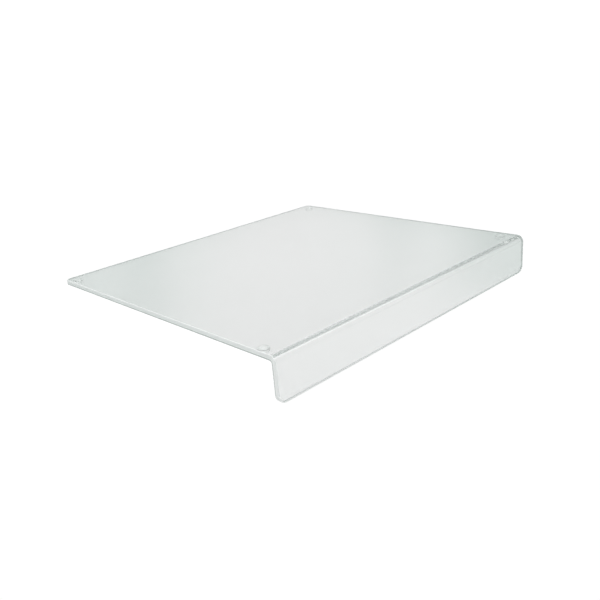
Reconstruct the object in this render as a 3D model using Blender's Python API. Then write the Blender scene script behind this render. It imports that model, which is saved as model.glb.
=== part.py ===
"""Chopping board for the front edge of a worktop.

One clear acrylic sheet with polished edges is bent down along its front, so that the short lip hooks
over the worktop's front face. It stands on four clear bumper feet, each bonded on by an adhesive disc.

Metres. The origin is the point at mid-width where the worktop's top meets its front face: the feet
rest on z = 0 and the lip's inner face lies on y = 0. +X runs along the bend, +Y from the lip to the
back edge, +Z is up.
"""

import math

import bmesh
import bpy

# The acrylic sheet
BOARD_WIDTH = 0.450  # along the bend
BOARD_DEPTH = 0.400  # from the lip's outer face to the back edge
LIP_HEIGHT = 0.050  # from the board's top to the lip's lower edge
SHEET = 0.006  # thickness
BEND_INNER_RADIUS = 0.0025
BACK_CORNER_RADIUS = 0.008
LIP_CORNER_RADIUS = 0.010
EDGE_ROUND = 0.0012  # radius that polishing leaves on each edge of the cut faces

# The bumper feet, turned pieces that taper towards the worktop
FOOT_DIAMETER = 0.0127  # at the bonded face
FOOT_HEIGHT = 0.0030
FOOT_TAPER = 0.0022  # how much smaller the radius is where the foot meets the worktop
FOOT_SHOULDER = 0.0010  # height of the straight wall under the bonded face
FOOT_SIDE_INSET = 0.011  # from the board's side edge to the foot's centre
FOOT_BACK_INSET = 0.014  # from the board's back edge to the foot's centre
FOOT_BEND_INSET = 0.0195  # from the start of the bend to the foot's centre

# The adhesive discs between the feet and the board
ADHESIVE_THICKNESS = 0.0002
ADHESIVE_MARGIN = 0.00035  # how far the disc stays inside the foot's rim

FACE_GAP = 0.0003  # clearance between faces that meet

# Smoothness
CORNER_STEPS = 10
BEND_STEPS = 14
EDGE_ROUND_STEPS = 4
FOOT_CURVE_STEPS = 6
TURN_STEPS = 48
SHARP_ANGLE = math.radians(40)
SEAM_MERGE = 1e-6  # joins a turned solid's last step to its first

# Heights over the worktop, from the feet up
ADHESIVE_BOTTOM = FOOT_HEIGHT + FACE_GAP
BOARD_BOTTOM = ADHESIVE_BOTTOM + ADHESIVE_THICKNESS + FACE_GAP

# The bend, measured on the sheet's middle plane, which keeps its length
BEND_MID_RADIUS = BEND_INNER_RADIUS + SHEET / 2
BEND_LENGTH = BEND_MID_RADIUS * math.pi / 2
BEND_START_Y = BEND_INNER_RADIUS  # where the flat board ends
PANEL_LENGTH = BOARD_DEPTH - SHEET - BEND_START_Y
LIP_LENGTH = LIP_HEIGHT - SHEET - BEND_INNER_RADIUS


def clear_scene():
    for obj in list(bpy.data.objects):
        bpy.data.objects.remove(obj)


def clear_plastic(name, colour, roughness, ior):
    material = bpy.data.materials.new(name)
    material.use_nodes = True
    shader = material.node_tree.nodes["Principled BSDF"]
    shader.inputs["Base Color"].default_value = (*colour, 1.0)
    shader.inputs["Metallic"].default_value = 0.0
    shader.inputs["Roughness"].default_value = roughness
    shader.inputs["IOR"].default_value = ior
    shader.inputs["Transmission Weight"].default_value = 1.0
    return material


def add_object(name, mesh, parent=None, location=(0, 0, 0)):
    """An object that shows mesh, or an empty where mesh is None."""
    obj = bpy.data.objects.new(name, mesh)
    bpy.context.scene.collection.objects.link(obj)
    obj.parent = parent
    obj.location = location
    return obj


def finished_mesh(name, bm, material):
    """A smooth-shaded mesh of bm, whose steeper edges stay crisp. It frees bm."""
    bmesh.ops.recalc_face_normals(bm, faces=bm.faces)
    mesh = bpy.data.meshes.new(name)
    bm.to_mesh(mesh)
    bm.free()
    mesh.shade_smooth()
    mesh.set_sharp_from_angle(angle=SHARP_ANGLE)
    mesh.materials.append(material)
    return mesh


def blank_outline():
    """The outline before bending, as (x, v): v is 0 at the bend's start and grows towards the lip."""
    half = BOARD_WIDTH / 2
    lip_end = BEND_LENGTH + LIP_LENGTH
    corners = (
        (half, lip_end, LIP_CORNER_RADIUS, 0),
        (-half, lip_end, LIP_CORNER_RADIUS, 1),
        (-half, -PANEL_LENGTH, BACK_CORNER_RADIUS, 2),
        (half, -PANEL_LENGTH, BACK_CORNER_RADIUS, 3),
    )
    points = []
    for x, v, radius, quarter in corners:
        centre_x = x - math.copysign(radius, x)
        centre_v = v - math.copysign(radius, v)
        for step in range(CORNER_STEPS + 1):
            angle = (quarter + step / CORNER_STEPS) * math.pi / 2
            points.append((centre_x + radius * math.cos(angle), centre_v + radius * math.sin(angle)))
    return points


def bent(x, v, offset):
    """Where a point of the flat blank goes. offset is its height over the sheet's middle plane."""
    axis_y = BEND_START_Y
    axis_z = BOARD_BOTTOM - BEND_INNER_RADIUS
    radius = BEND_MID_RADIUS + offset
    if v <= 0:
        return x, axis_y - v, axis_z + radius
    if v >= BEND_LENGTH:
        return x, axis_y - radius, axis_z - (v - BEND_LENGTH)
    angle = v / BEND_MID_RADIUS
    return x, axis_y - radius * math.sin(angle), axis_z + radius * math.cos(angle)


def is_rim(edge):
    """Whether the edge lies between a broad face of the blank and its cut side."""
    broad = [abs(face.normal.z) > 0.5 for face in edge.link_faces]
    return broad.count(True) == 1 and broad.count(False) == 1


def board_mesh(material):
    """The sheet as it is made: the blank is cut and polished flat, and then bent."""
    bm = bmesh.new()
    bm.faces.new([bm.verts.new((x, v, -SHEET / 2)) for x, v in blank_outline()])
    for step in range(BEND_STEPS + 1):
        line = BEND_LENGTH * step / BEND_STEPS
        everything = bm.verts[:] + bm.edges[:] + bm.faces[:]
        bmesh.ops.bisect_plane(bm, geom=everything, plane_co=(0, line, 0), plane_no=(0, 1, 0))
    raised = bmesh.ops.extrude_face_region(bm, geom=bm.faces[:])["geom"]
    top = [item for item in raised if isinstance(item, bmesh.types.BMVert)]
    bmesh.ops.translate(bm, vec=(0, 0, SHEET), verts=top)
    bm.normal_update()
    rims = [edge for edge in bm.edges if is_rim(edge)]
    bmesh.ops.bevel(
        bm,
        geom=rims,
        offset=EDGE_ROUND,
        segments=EDGE_ROUND_STEPS,
        profile=0.5,
        affect="EDGES",
        clamp_overlap=True,
    )
    for vert in bm.verts:
        vert.co = bent(*vert.co)
    return finished_mesh("acrylic_board", bm, material)


def turned_mesh(name, profile, material):
    """A solid of revolution about Z from (radius, height) points that start and end on the axis."""
    bm = bmesh.new()
    verts = [bm.verts.new((radius, 0, height)) for radius, height in profile]
    edges = [bm.edges.new(pair) for pair in zip(verts, verts[1:])]
    bmesh.ops.spin(
        bm,
        geom=verts + edges,
        cent=(0, 0, 0),
        axis=(0, 0, 1),
        angle=2 * math.pi,
        steps=TURN_STEPS,
        use_duplicate=False,
    )
    bmesh.ops.remove_doubles(bm, verts=bm.verts, dist=SEAM_MERGE)
    return finished_mesh(name, bm, material)


def foot_profile():
    """From the bonded face on top, down the straight shoulder and round the taper to the contact face."""
    rim = FOOT_DIAMETER / 2
    taper_height = FOOT_HEIGHT - FOOT_SHOULDER
    points = [(0, FOOT_HEIGHT), (rim, FOOT_HEIGHT)]
    for step in range(FOOT_CURVE_STEPS + 1):
        angle = step / FOOT_CURVE_STEPS * math.pi / 2
        inward = FOOT_TAPER * (1 - math.cos(angle))
        points.append((rim - inward, taper_height * (1 - math.sin(angle))))
    return points + [(0, 0)]


def adhesive_profile():
    radius = FOOT_DIAMETER / 2 - ADHESIVE_MARGIN
    return [(0, ADHESIVE_THICKNESS), (radius, ADHESIVE_THICKNESS), (radius, 0), (0, 0)]


def foot_places():
    """(name, x, y) of each foot's centre."""
    side = BOARD_WIDTH / 2 - FOOT_SIDE_INSET
    front = BEND_START_Y + FOOT_BEND_INSET
    back = BOARD_DEPTH - SHEET - FOOT_BACK_INSET
    for row, y in (("front", front), ("back", back)):
        for hand, x in (("left", -side), ("right", side)):
            yield f"{row}_{hand}", x, y


def build():
    clear_scene()
    acrylic = clear_plastic("acrylic", (0.93, 0.96, 0.95), roughness=0.05, ior=1.49)
    urethane = clear_plastic("urethane", (0.90, 0.92, 0.91), roughness=0.20, ior=1.50)
    glue = clear_plastic("adhesive", (0.92, 0.93, 0.92), roughness=0.35, ior=1.47)

    board = board_mesh(acrylic)
    foot = turned_mesh("foot", foot_profile(), urethane)
    disc = turned_mesh("adhesive", adhesive_profile(), glue)

    worktop_edge = add_object("worktop_edge", None)
    add_object("acrylic_board", board, worktop_edge)
    for place, x, y in foot_places():
        add_object(f"foot_{place}", foot, worktop_edge, (x, y, 0))
        add_object(f"adhesive_{place}", disc, worktop_edge, (x, y, ADHESIVE_BOTTOM))


build()
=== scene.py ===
import math

import bmesh
import bpy
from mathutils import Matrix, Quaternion, Vector


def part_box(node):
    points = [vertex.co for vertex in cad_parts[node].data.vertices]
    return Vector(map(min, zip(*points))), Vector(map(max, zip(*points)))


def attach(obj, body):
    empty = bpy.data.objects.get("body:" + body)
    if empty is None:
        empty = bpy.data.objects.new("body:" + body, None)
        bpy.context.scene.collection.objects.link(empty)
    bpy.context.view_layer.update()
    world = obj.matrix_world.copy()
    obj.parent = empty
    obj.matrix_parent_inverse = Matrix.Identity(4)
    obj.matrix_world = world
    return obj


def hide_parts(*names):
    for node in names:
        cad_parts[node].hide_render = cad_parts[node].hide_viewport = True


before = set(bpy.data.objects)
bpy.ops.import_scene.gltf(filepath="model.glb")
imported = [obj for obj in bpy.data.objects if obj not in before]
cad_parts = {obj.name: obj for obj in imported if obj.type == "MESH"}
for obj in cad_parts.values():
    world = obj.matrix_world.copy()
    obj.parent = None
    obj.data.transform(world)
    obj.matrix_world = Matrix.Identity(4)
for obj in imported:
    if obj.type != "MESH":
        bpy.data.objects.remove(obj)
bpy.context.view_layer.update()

# Everything is in metres, in the frame of the CAD model: +X along the bend, +Y from the lip to the
# back edge, +Z up, z = 0 where the feet rest and y = 0 on the lip's inner face.

BLANK = "flat_blank"  # the mesh attribute with each point's place on the unbent sheet
FEET = ("front_left", "front_right", "back_left", "back_right")

# The sheet, as the CAD model has it
BOARD_LOW, BOARD_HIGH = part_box("acrylic_board")
SHEET = -BOARD_LOW.y
BOARD_BOTTOM = BOARD_HIGH.z - SHEET
HALF_WIDTH = BOARD_HIGH.x
BEND_INNER_RADIUS = 0.0025
BACK_CORNER_RADIUS = 0.008
LIP_CORNER_RADIUS = 0.010
EDGE_ROUND = 0.0012

# How fine the visible meshes are
CORNER_STEPS = 32
BEND_STEPS = 72
EDGE_ROUND_STEPS = 6
TURN_STEPS = 128
CURVE_STEPS = 14

# The camera, placed from the middle of the bend on the board's top, at the lip's outer face
CAMERA_OFFSET = Vector((-0.5867, -0.4240, 0.2610))
CAMERA_AZIMUTH = math.radians(-43.23)
CAMERA_ELEVATION = math.radians(20.53)
CAMERA_ROLL = math.radians(5.04)
CAMERA_LENS = 41.08
CAMERA_SENSOR = 36.0
CAMERA_CLIP_START = 0.01

# The bumper feet
FOOT_TAPER = 0.0022
FOOT_SHOULDER = 0.0010
FOOT_RIM_ROUND = 0.00025
CONTACT_OVERLAP = 0.00005  # the adhesive reaches this far into foot and board, as bonded faces do
SEAM_MERGE = 1e-7  # joins a turned mesh's last step to its first

# The acrylic. Its faces are glossy and its cut sides satin. The painted shade along the lower edge of
# the cut draws the board's outline.
ACRYLIC_IOR = 1.49
ACRYLIC_TINT = (0.80, 0.84, 0.83)  # what is left of white light after a metre of acrylic
FACE_COLOUR = (0.985, 0.995, 0.99)
FACE_SHADE = 0.012  # how much darker the waves make it
FACE_ROUGHNESS = 0.08
FACE_ROUGHNESS_SPREAD = (-0.003, 0.006)
FACE_BUMP = 0.000004
BEND_HAZE = 0.04  # how much rougher the heated bend is than the flat faces
CUT_COLOUR = (0.97, 0.985, 0.98)
CUT_SHADE = 0.05  # how much darker the patches make it
CUT_ROUGHNESS = 0.40
CUT_ROUGHNESS_SPREAD = (0.8, 1.2)  # factors
CUT_CLEARNESS = 0.20
CUT_BUMP = 0.00001
# Painted shade: the colour of the lower rims and of the lower strip of each cut side, darker as where
# less light reaches
UNDER_RIM_PAINTED_SHADE = (0.56, 0.62, 0.60)
UNDER_RIM_ROUGHNESS = 0.15
PAINTED_SHADE_STRIP = (-0.0018, -0.0007)  # heights over the sheet's middle between which the painted shade fades out

# The feet and their adhesive
URETHANE_IOR = 1.50
URETHANE_COLOUR = (0.995, 1.0, 0.998)
URETHANE_ROUGHNESS = (0.30, 0.42)
URETHANE_BUMP = 0.000008
GLUE_IOR = 1.47
GLUE_COLOUR = (0.995, 1.0, 0.997)
GLUE_ROUGHNESS = (0.06, 0.16)
GLUE_BUMP = 0.000004
FOOT_SHADE = 0.01  # how much darker clouds and bubbles make them

# How fine the materials' patterns are, per metre: along the bend, across it and in depth
FACE_WAVES = (22, 22, 22)
FACE_WIPES = (35, 900, 35)
FACE_SCRATCHES = (1100, 60, 60)
CUT_LINES = (30, 30, 4500)
CUT_PATCHES = (70, 70, 250)
URETHANE_SKIN = 2500
URETHANE_CLOUDS = 300
GLUE_BUBBLES = 1600
NOISE_DETAIL = 3.0
NOISE_ROUGHNESS = 0.55

# The studio. A stop is (position, brightness, how much less red).
BOX_TURN = math.radians(4)
SOFT_BOXES = (  # position: from 0 along X or Y to 1 across a corner of the board
    (0.00, 0.50, 0.05),
    (0.77, 0.55, 0.10),
    (0.88, 0.82, 0.03),
    (0.93, 0.71, 0.06),
    (0.97, 0.82, 0.02),
    (1.00, 0.82, 0.00),
)
BOX_FALLOFF = (  # position: the height of the direction, from 0 level to 1 straight up
    (0.00, 0.92, 0.00),
    (0.20, 0.94, 0.00),
    (0.29, 1.00, 0.00),
    (0.36, 0.90, 0.00),
    (0.46, 0.75, 0.00),
)
OVERHEAD = 1.35
OVERHEAD_HEIGHTS = (0.45, 0.70)
FLOOR_POOL = (  # position: metres from the pool's middle, across it
    (0.10, 0.37, 0.00),
    (0.32, 0.325, 0.05),
    (0.80, 0.275, 0.06),
)
POOL_CENTRE = (-0.02, 0.14)
POOL_TURN = math.radians(-43)
POOL_STRETCH = 3
FLOOR_GLOW = 1.2
FLOOR_SIZE = 30
SEEN_FLOOR = 1.02
SEEN_BACKDROP = 1.10
LIGHT_BOUNCES = 512
DIFFUSE_BOUNCES = 4

# Sockets of a Mix node that mixes colours
MIX_FACTOR, MIX_FIRST, MIX_SECOND, MIX_RESULT = 0, 6, 7, 2

# ---------------------------------------------------------------- small helpers

def new_object(name, mesh):
    obj = bpy.data.objects.new(name, mesh)
    bpy.context.scene.collection.objects.link(obj)
    return obj


def smooth_mesh(name, bm):
    """The mesh of bm, shaded smooth; weight_normals then keeps its flat faces flat up to their rounded
    edges. It frees bm.
    """
    bmesh.ops.recalc_face_normals(bm, faces=bm.faces)
    mesh = bpy.data.meshes.new(name)
    bm.to_mesh(mesh)
    bm.free()
    mesh.shade_smooth()
    return mesh


def weight_normals(obj):
    modifier = obj.modifiers.new("flat_faces_stay_flat", "WEIGHTED_NORMAL")
    modifier.mode = "FACE_AREA"
    modifier.weight = 100


def stand_for(obj, node):
    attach(obj, "root")
    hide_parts(node)


# ---------------------------------------------------------------- the acrylic sheet

FACE_SLOT, CUT_SLOT, UNDER_RIM_SLOT = 0, 1, 2  # the order of the sheet's materials
BEND_MID_RADIUS = BEND_INNER_RADIUS + SHEET / 2
BEND_LENGTH = BEND_MID_RADIUS * math.pi / 2
PANEL_LENGTH = BOARD_HIGH.y - BEND_INNER_RADIUS
LIP_LENGTH = BOARD_BOTTOM - BEND_INNER_RADIUS - BOARD_LOW.z


def blank_outline():
    """The outline before bending, as (x, v): v is 0 at the bend's start and grows towards the lip."""
    lip_end = BEND_LENGTH + LIP_LENGTH
    corners = (
        (1, lip_end, LIP_CORNER_RADIUS),
        (-1, lip_end, LIP_CORNER_RADIUS),
        (-1, -PANEL_LENGTH, BACK_CORNER_RADIUS),
        (1, -PANEL_LENGTH, BACK_CORNER_RADIUS),
    )
    points = []
    for quarter, (side, v, radius) in enumerate(corners):
        centre_x = side * (HALF_WIDTH - radius)
        centre_v = v - math.copysign(radius, v)
        for step in range(CORNER_STEPS + 1):
            angle = (quarter + step / CORNER_STEPS) * math.pi / 2
            points.append((centre_x + radius * math.cos(angle), centre_v + radius * math.sin(angle)))
    return points


def bent(x, v, offset):
    """Where a point of the flat blank goes. offset is its height over the sheet's middle plane."""
    axis_z = BOARD_BOTTOM - BEND_INNER_RADIUS
    radius = BEND_MID_RADIUS + offset
    if v <= 0:
        return x, BEND_INNER_RADIUS - v, axis_z + radius
    if v >= BEND_LENGTH:
        return x, BEND_INNER_RADIUS - radius, axis_z - (v - BEND_LENGTH)
    angle = v / BEND_MID_RADIUS
    return x, BEND_INNER_RADIUS - radius * math.sin(angle), axis_z + radius * math.cos(angle)


def is_broad(face):
    """Whether a face of the flat blank is its top or its underside, and not its cut side."""
    return abs(face.normal.z) > 0.5


def is_rim(edge):
    """Whether the edge lies between a broad face of the flat blank and its cut side."""
    broad = [is_broad(face) for face in edge.link_faces]
    return broad.count(True) == 1 and broad.count(False) == 1


def flat_blank():
    """The sheet before bending, with strips across the bend."""
    bm = bmesh.new()
    bm.faces.new([bm.verts.new((x, v, -SHEET / 2)) for x, v in blank_outline()])
    for step in range(BEND_STEPS + 1):
        line = BEND_LENGTH * step / BEND_STEPS
        everything = bm.verts[:] + bm.edges[:] + bm.faces[:]
        bmesh.ops.bisect_plane(bm, geom=everything, plane_co=(0, line, 0), plane_no=(0, 1, 0))
    raised = bmesh.ops.extrude_face_region(bm, geom=bm.faces[:])["geom"]
    top = [item for item in raised if isinstance(item, bmesh.types.BMVert)]
    bmesh.ops.translate(bm, vec=(0, 0, SHEET), verts=top)
    bm.normal_update()
    return bm


def round_rims(bm):
    """Rounds the blank's rims. The upper ones share the cut side's material. The lower ones don't: they
    get the one with painted shade.
    """
    for face in bm.faces:
        face.material_index = FACE_SLOT if is_broad(face) else CUT_SLOT
    rims = [edge for edge in bm.edges if is_rim(edge)]
    bmesh.ops.bevel(
        bm,
        geom=rims,
        offset=EDGE_ROUND,
        segments=EDGE_ROUND_STEPS,
        profile=0.5,
        affect="EDGES",
        clamp_overlap=True,
        material=UNDER_RIM_SLOT,
    )
    for face in bm.faces:
        if face.material_index == UNDER_RIM_SLOT and face.calc_center_median().z > 0:
            face.material_index = CUT_SLOT


def board():
    """The acrylic sheet, cut and rounded flat and then bent."""
    bm = flat_blank()
    round_rims(bm)
    flat_place = bm.verts.layers.float_vector.new(BLANK)
    for vert in bm.verts:
        vert[flat_place] = vert.co
        vert.co = bent(*vert.co)
    obj = new_object("board_sheet", smooth_mesh("board_sheet", bm))
    obj.data.materials.append(acrylic_face())
    cut_side = acrylic_cut("acrylic_cut_side", CUT_COLOUR, CUT_ROUGHNESS, CUT_CLEARNESS)
    # the lower rims get the painted shade
    under_rim = acrylic_cut("acrylic_under_rim_painted_shade", UNDER_RIM_PAINTED_SHADE, UNDER_RIM_ROUGHNESS, 1.0)
    obj.data.materials.append(cut_side)
    obj.data.materials.append(under_rim)
    weight_normals(obj)
    stand_for(obj, "acrylic_board")


# ---------------------------------------------------------------- feet and their adhesive

def turned(name, profile, place):
    bm = bmesh.new()
    verts = [bm.verts.new((radius, 0, height)) for radius, height in profile]
    edges = [bm.edges.new(pair) for pair in zip(verts, verts[1:])]
    bmesh.ops.spin(
        bm,
        geom=verts + edges,
        cent=(0, 0, 0),
        axis=(0, 0, 1),
        angle=2 * math.pi,
        steps=TURN_STEPS,
        use_duplicate=False,
    )
    bmesh.ops.remove_doubles(bm, verts=bm.verts, dist=SEAM_MERGE)
    bmesh.ops.translate(bm, vec=place, verts=bm.verts)
    obj = new_object(name, smooth_mesh(name, bm))
    weight_normals(obj)
    return obj


def arc(centre_radius, centre_height, radius):
    """A quarter round of a turned profile, from its top to its outermost point."""
    for step in range(CURVE_STEPS + 1):
        angle = (1 - step / CURVE_STEPS) * math.pi / 2
        yield centre_radius + radius * math.cos(angle), centre_height + radius * math.sin(angle)


def foot(place):
    node = f"foot_{place}"
    low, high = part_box(node)
    rim = (high.x - low.x) / 2
    height = high.z - low.z
    taper_height = height - FOOT_SHOULDER
    profile = [(0, height)]
    profile += arc(rim - FOOT_RIM_ROUND, height - FOOT_RIM_ROUND, FOOT_RIM_ROUND)
    for step in range(CURVE_STEPS + 1):
        angle = step / CURVE_STEPS * math.pi / 2
        inward = FOOT_TAPER * (1 - math.cos(angle))
        profile.append((rim - inward, taper_height * (1 - math.sin(angle))))
    profile += [(0, 0)]
    centre = ((low.x + high.x) / 2, (low.y + high.y) / 2, low.z)
    obj = turned(f"bumper_{place}", profile, centre)
    obj.data.materials.append(urethane())
    stand_for(obj, node)


def adhesive(place):
    node = f"adhesive_{place}"
    low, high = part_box(node)
    foot_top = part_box(f"foot_{place}")[1].z
    radius = (high.x - low.x) / 2
    bottom = foot_top - CONTACT_OVERLAP
    height = BOARD_BOTTOM + CONTACT_OVERLAP - bottom
    profile = [(0, height), (radius, height), (radius, 0), (0, 0)]
    centre = ((low.x + high.x) / 2, (low.y + high.y) / 2, bottom)
    obj = turned(f"glue_disc_{place}", profile, centre)
    obj.data.materials.append(glue())
    stand_for(obj, node)


# ---------------------------------------------------------------- shader nodes

def shader_of(name):
    material = bpy.data.materials.new(name)
    material.use_nodes = True
    tree = material.node_tree
    return material, tree, tree.nodes["Principled BSDF"]


def add(tree, kind, **inputs):
    node = tree.nodes.new(kind)
    for key, value in inputs.items():
        node.inputs[key.replace("_", " ")].default_value = value
    return node


def put(tree, value, socket):
    """Links value to the socket if it is an output, and sets the socket to it otherwise."""
    if isinstance(value, bpy.types.NodeSocket):
        tree.links.new(value, socket)
    else:
        socket.default_value = value


def math_node(tree, operation, *values):
    node = tree.nodes.new("ShaderNodeMath")
    node.operation = operation
    for socket, value in zip(node.inputs, values):
        put(tree, value, socket)
    return node.outputs[0]


def between(tree, factor, low, high):
    """A value that goes from low to high as factor goes from 0 to 1."""
    return math_node(tree, "MULTIPLY_ADD", factor, high - low, low)


def mixed(tree, factor, first, second, blend="MIX"):
    node = tree.nodes.new("ShaderNodeMix")
    node.data_type = "RGBA"
    node.blend_type = blend
    put(tree, factor, node.inputs[MIX_FACTOR])
    put(tree, first, node.inputs[MIX_FIRST])
    put(tree, second, node.inputs[MIX_SECOND])
    return node.outputs[MIX_RESULT]


def grey(value, tint=0.0):
    """A grey whose red is lowered by tint, and whose blue is lowered by a third of it."""
    return value * (1 - tint), value, value * (1 - tint / 3), 1


def ramp(tree, factor, stops):
    """A smooth ramp of greys over a socket, from (position, brightness, how much less red) stops."""
    node = tree.nodes.new("ShaderNodeValToRGB")
    node.color_ramp.interpolation = "EASE"
    elements = node.color_ramp.elements
    while len(elements) < len(stops):
        elements.new(0.5)
    for element, (position, value, tint) in zip(elements, stops):
        element.position = position
        element.color = grey(value, tint)
    tree.links.new(factor, node.inputs["Fac"])
    return node.outputs["Color"]


def noise(tree, vector):
    node = add(tree, "ShaderNodeTexNoise", Scale=1.0, Detail=NOISE_DETAIL, Roughness=NOISE_ROUGHNESS)
    tree.links.new(vector, node.inputs["Vector"])
    return node.outputs[0]


def tinted(tree, factor, colour, depth):
    """The colour, darkened by up to depth where factor is low."""
    node = tree.nodes.new("ShaderNodeVectorMath")
    node.operation = "SCALE"
    put(tree, colour, node.inputs[0])
    tree.links.new(between(tree, factor, 1 - depth, 1), node.inputs["Scale"])
    return node.outputs[0]


def bumped(tree, shader, height, distance):
    node = add(tree, "ShaderNodeBump", Strength=1.0, Distance=distance)
    tree.links.new(height, node.inputs["Height"])
    tree.links.new(node.outputs["Normal"], shader.inputs["Normal"])


def see_through(shader, ior, clearness):
    shader.inputs["IOR"].default_value = ior
    shader.inputs["Transmission Weight"].default_value = clearness


def absorb(tree):
    volume = add(tree, "ShaderNodeVolumeAbsorption", Color=(*ACRYLIC_TINT, 1), Density=1.0)
    tree.links.new(volume.outputs["Volume"], tree.nodes["Material Output"].inputs["Volume"])


def blank_place(tree, scale=(1, 1, 1)):
    """Where a point was on the flat blank: along the bend, across it and in depth, times scale."""
    place = tree.nodes.new("ShaderNodeAttribute")
    place.attribute_name = BLANK
    mapping = add(tree, "ShaderNodeMapping", Scale=scale)
    tree.links.new(place.outputs["Vector"], mapping.inputs["Vector"])
    return mapping.outputs["Vector"]


def blank_parts(tree):
    """The three parts of a point's place on the flat blank, in metres."""
    split = tree.nodes.new("ShaderNodeSeparateXYZ")
    tree.links.new(blank_place(tree), split.inputs[0])
    return split.outputs


def piece_place(tree, scale):
    """A point's place in the CAD frame, times scale."""
    coords = tree.nodes.new("ShaderNodeTexCoord")
    mapping = add(tree, "ShaderNodeMapping", Scale=(scale, scale, scale))
    tree.links.new(coords.outputs["Object"], mapping.inputs["Vector"])
    return mapping.outputs["Vector"]


def white_when_seen(tree, light, seen, surface):
    """Gives the surface seen where the camera looks straight at it, and light to everything else."""
    path = tree.nodes.new("ShaderNodeLightPath")
    mix = tree.nodes.new("ShaderNodeMixShader")
    tree.links.new(path.outputs["Is Camera Ray"], mix.inputs["Fac"])
    tree.links.new(light.outputs[0], mix.inputs[1])
    tree.links.new(seen.outputs[0], mix.inputs[2])
    tree.links.new(mix.outputs[0], surface)


# ---------------------------------------------------------------- materials

def bend_haze(tree):
    """BEND_HAZE in the middle of the bend, falling to nothing one bend length away from it."""
    across = blank_parts(tree)["Y"]
    from_middle = math_node(tree, "ABSOLUTE", math_node(tree, "SUBTRACT", across, BEND_LENGTH / 2))
    nearness = math_node(tree, "SUBTRACT", 1.0, math_node(tree, "DIVIDE", from_middle, BEND_LENGTH))
    return math_node(tree, "MULTIPLY", math_node(tree, "MAXIMUM", nearness, 0.0), BEND_HAZE)


def acrylic_face():
    """Cast sheet: faintly wavy and wiped, and hazier where it was heated for the bend."""
    material, tree, shader = shader_of("acrylic_face")
    see_through(shader, ACRYLIC_IOR, 1.0)
    absorb(tree)
    waves = noise(tree, blank_place(tree, FACE_WAVES))
    wipes = noise(tree, blank_place(tree, FACE_WIPES))
    scratches = noise(tree, blank_place(tree, FACE_SCRATCHES))
    wear = math_node(tree, "MULTIPLY", wipes, scratches)
    tree.links.new(tinted(tree, waves, FACE_COLOUR, FACE_SHADE), shader.inputs["Base Color"])
    low, high = FACE_ROUGHNESS_SPREAD
    satin = between(tree, wear, FACE_ROUGHNESS + low, FACE_ROUGHNESS + high)
    tree.links.new(math_node(tree, "ADD", satin, bend_haze(tree)), shader.inputs["Roughness"])
    bumped(tree, shader, waves, FACE_BUMP)
    return material


def painted_under_shade(tree, colour):
    """The colour, turning into the under rim's painted shade towards the sheet's lower face."""
    strip = tree.nodes.new("ShaderNodeMapRange")
    strip.interpolation_type = "SMOOTHSTEP"
    strip.inputs["From Min"].default_value = PAINTED_SHADE_STRIP[0]
    strip.inputs["From Max"].default_value = PAINTED_SHADE_STRIP[1]
    tree.links.new(blank_parts(tree)["Z"], strip.inputs["Value"])
    return mixed(tree, strip.outputs[0], (*UNDER_RIM_PAINTED_SHADE, 1), (*colour, 1))


def acrylic_cut(name, colour, roughness, clearness):
    """A cut side of the sheet, with painted shade along its lower edge. Fine tool lines run along it."""
    material, tree, shader = shader_of(name)
    see_through(shader, ACRYLIC_IOR, clearness)
    absorb(tree)
    lines = noise(tree, blank_place(tree, CUT_LINES))
    patches = noise(tree, blank_place(tree, CUT_PATCHES))
    # random patches of tone, plus painted shade towards the lower edge
    patchy_and_shaded = tinted(tree, patches, painted_under_shade(tree, colour), CUT_SHADE)
    tree.links.new(patchy_and_shaded, shader.inputs["Base Color"])
    low, high = CUT_ROUGHNESS_SPREAD
    satin = between(tree, lines, roughness * low, roughness * high)
    tree.links.new(satin, shader.inputs["Roughness"])
    bumped(tree, shader, lines, CUT_BUMP)
    return material


def urethane():
    """Clear soft urethane with a satin, faintly dimpled skin."""
    material, tree, shader = shader_of("urethane")
    see_through(shader, URETHANE_IOR, 1.0)
    skin = noise(tree, piece_place(tree, URETHANE_SKIN))
    clouds = noise(tree, piece_place(tree, URETHANE_CLOUDS))
    tree.links.new(tinted(tree, clouds, URETHANE_COLOUR, FOOT_SHADE), shader.inputs["Base Color"])
    tree.links.new(between(tree, skin, *URETHANE_ROUGHNESS), shader.inputs["Roughness"])
    bumped(tree, shader, skin, URETHANE_BUMP)
    return material


def glue():
    """Clear adhesive film with small trapped bubbles."""
    material, tree, shader = shader_of("glue")
    see_through(shader, GLUE_IOR, 1.0)
    cells = add(tree, "ShaderNodeTexVoronoi", Scale=1.0)
    tree.links.new(piece_place(tree, GLUE_BUBBLES), cells.inputs["Vector"])
    bubbles = cells.outputs["Distance"]
    tree.links.new(tinted(tree, bubbles, GLUE_COLOUR, FOOT_SHADE), shader.inputs["Base Color"])
    tree.links.new(between(tree, bubbles, *GLUE_ROUGHNESS), shader.inputs["Roughness"])
    bumped(tree, shader, bubbles, GLUE_BUMP)
    return material


# ---------------------------------------------------------------- floor, light and camera

def light_pool(tree):
    """The floor's brightness: a long pool of light that fades across its width."""
    geometry = tree.nodes.new("ShaderNodeNewGeometry")
    place = tree.nodes.new("ShaderNodeMapping")
    place.vector_type = "TEXTURE"
    place.inputs["Location"].default_value = (*POOL_CENTRE, BOARD_LOW.z)
    place.inputs["Rotation"].default_value = (0, 0, POOL_TURN)
    place.inputs["Scale"].default_value = (1, POOL_STRETCH, 1)
    away = tree.nodes.new("ShaderNodeVectorMath")
    away.operation = "LENGTH"
    tree.links.new(geometry.outputs["Position"], place.inputs["Vector"])
    tree.links.new(place.outputs[0], away.inputs[0])
    return ramp(tree, away.outputs["Value"], FLOOR_POOL)


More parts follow.
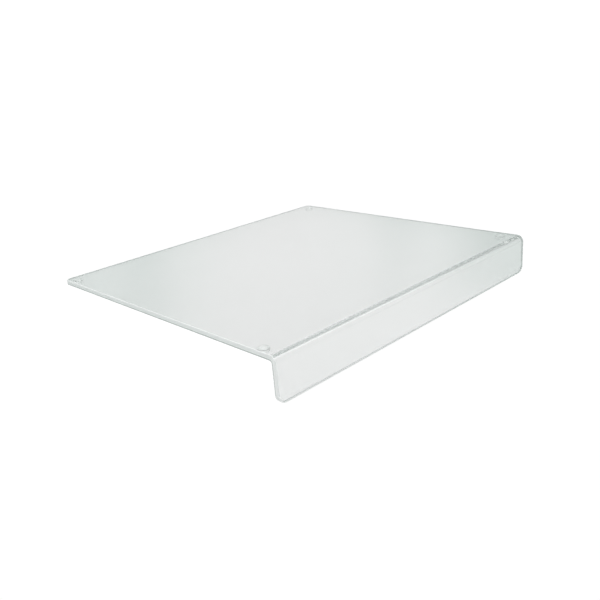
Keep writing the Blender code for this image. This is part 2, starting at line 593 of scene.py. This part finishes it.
def floor_surface():
    """Partly lit and partly glowing, and white where the camera sees it directly."""
    material, tree, shader = shader_of("floor")
    shader.inputs["Roughness"].default_value = 1.0
    shader.inputs["Specular IOR Level"].default_value = 0.0
    pool = light_pool(tree)
    tree.links.new(pool, shader.inputs["Base Color"])
    tree.links.new(pool, shader.inputs["Emission Color"])
    shader.inputs["Emission Strength"].default_value = FLOOR_GLOW
    seen = add(tree, "ShaderNodeEmission", Color=(1, 1, 1, 1), Strength=SEEN_FLOOR)
    white_when_seen(tree, shader, seen, tree.nodes["Material Output"].inputs["Surface"])
    return material


def floor():
    bm = bmesh.new()
    bmesh.ops.create_grid(bm, x_segments=1, y_segments=1, size=FLOOR_SIZE)
    bmesh.ops.translate(bm, vec=(0, 0, BOARD_LOW.z), verts=bm.verts)
    mesh = bpy.data.meshes.new("floor")
    bm.to_mesh(mesh)
    bm.free()
    obj = new_object("floor", mesh)
    mesh.materials.append(floor_surface())


def sky_colour(tree):
    """Soft light from above, and from four soft boxes, one across each corner of the board."""
    coords = tree.nodes.new("ShaderNodeTexCoord")
    turn = tree.nodes.new("ShaderNodeVectorRotate")
    turn.rotation_type = "Z_AXIS"
    turn.inputs["Angle"].default_value = -BOX_TURN
    split = tree.nodes.new("ShaderNodeSeparateXYZ")
    tree.links.new(coords.outputs["Generated"], turn.inputs["Vector"])
    tree.links.new(turn.outputs[0], split.inputs[0])
    x, y, z = split.outputs
    flat = math_node(tree, "ADD", math_node(tree, "MULTIPLY", x, x), math_node(tree, "MULTIPLY", y, y))
    product = math_node(tree, "ABSOLUTE", math_node(tree, "MULTIPLY", x, y))
    diagonal = math_node(tree, "DIVIDE", math_node(tree, "MULTIPLY", product, 2.0), flat)
    around = ramp(tree, diagonal, SOFT_BOXES)
    boxes = mixed(tree, 1.0, around, ramp(tree, z, BOX_FALLOFF), "MULTIPLY")
    start, end = OVERHEAD_HEIGHTS
    upwards = ramp(tree, z, ((start, 0, 0), (end, 1, 0)))
    return mixed(tree, upwards, boxes, grey(OVERHEAD))


def studio():
    world = bpy.data.worlds.new("studio")
    bpy.context.scene.world = world
    world.use_nodes = True
    tree = world.node_tree
    tree.nodes.clear()
    light = add(tree, "ShaderNodeBackground", Strength=1.0)
    tree.links.new(sky_colour(tree), light.inputs["Color"])
    seen = add(tree, "ShaderNodeBackground", Color=(1, 1, 1, 1), Strength=SEEN_BACKDROP)
    output = tree.nodes.new("ShaderNodeOutputWorld")
    white_when_seen(tree, light, seen, output.inputs["Surface"])


def camera():
    data = bpy.data.cameras.new("camera")
    data.sensor_width = CAMERA_SENSOR
    data.lens = CAMERA_LENS
    data.clip_start = CAMERA_CLIP_START
    obj = new_object("camera", data)
    back = Vector((
        math.sin(CAMERA_AZIMUTH) * math.cos(CAMERA_ELEVATION),
        -math.cos(CAMERA_AZIMUTH) * math.cos(CAMERA_ELEVATION),
        math.sin(CAMERA_ELEVATION),
    ))
    obj.location = Vector((0, BOARD_LOW.y, BOARD_HIGH.z)) + CAMERA_OFFSET
    obj.rotation_mode = "QUATERNION"
    obj.rotation_quaternion = (-back).to_track_quat("-Z", "Y") @ Quaternion((0, 0, 1), -CAMERA_ROLL)
    bpy.context.scene.camera = obj
    bpy.context.scene.view_settings.view_transform = "Standard"


def light_paths():
    """Light runs far inside the sheet, between its faces, before it leaves through an edge."""
    cycles = bpy.context.scene.cycles
    cycles.max_bounces = LIGHT_BOUNCES
    cycles.transmission_bounces = LIGHT_BOUNCES
    cycles.glossy_bounces = LIGHT_BOUNCES
    cycles.diffuse_bounces = DIFFUSE_BOUNCES
    cycles.blur_glossy = 0


light_paths()
camera()
studio()
floor()
board()
for place in FEET:
    foot(place)
    adhesive(place)

bpy.context.view_layer.update()
